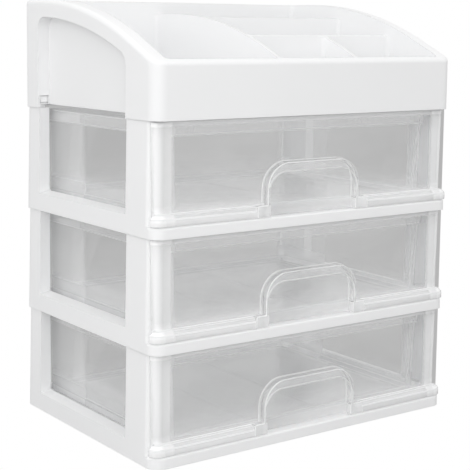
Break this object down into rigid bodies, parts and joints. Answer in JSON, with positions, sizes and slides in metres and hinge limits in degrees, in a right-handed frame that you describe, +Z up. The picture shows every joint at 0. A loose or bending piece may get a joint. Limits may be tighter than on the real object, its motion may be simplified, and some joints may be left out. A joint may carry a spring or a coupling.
{
  "type": "makeup organizer",
  "caption": "Free-standing makeup organizer: stacked white tiers with clear pull-out drawers and open sides, under a sloping divided top tray.",
  "frame": {"origin": "centre of the base, on the surface that the organizer stands on", "axes": "+Z up, +X to the right of someone facing the drawers, -Y out of the drawer fronts"},
  "size_m": [0.29, 0.1984, 0.336],
  "materials": {
    "white_plastic": "smooth moulded white plastic with a soft gloss",
    "clear_plastic": "clear moulded plastic, glossy"
  },
  "bodies": {
    "case": {"tier_frame_1": "white_plastic", "tier_frame_2": "white_plastic", "tier_frame_3": "white_plastic", "top_tray": "white_plastic"},
    "drawer_1": {"drawer_1_bin": "clear_plastic", "drawer_1_front": "clear_plastic", "drawer_1_handle": "clear_plastic"},
    "drawer_2": {"drawer_2_bin": "clear_plastic", "drawer_2_front": "clear_plastic", "drawer_2_handle": "clear_plastic"},
    "drawer_3": {"drawer_3_bin": "clear_plastic", "drawer_3_front": "clear_plastic", "drawer_3_handle": "clear_plastic"}
  },
  "joints": [
    {"name": "drawer_1_slide", "type": "slide", "parent": "case", "child": "drawer_1", "axis": [0, -1, 0], "range_m": [0, 0.15]},
    {"name": "drawer_2_slide", "type": "slide", "parent": "case", "child": "drawer_2", "axis": [0, -1, 0], "range_m": [0, 0.15]},
    {"name": "drawer_3_slide", "type": "slide", "parent": "case", "child": "drawer_3", "axis": [0, -1, 0], "range_m": [0, 0.15]}
  ]
}
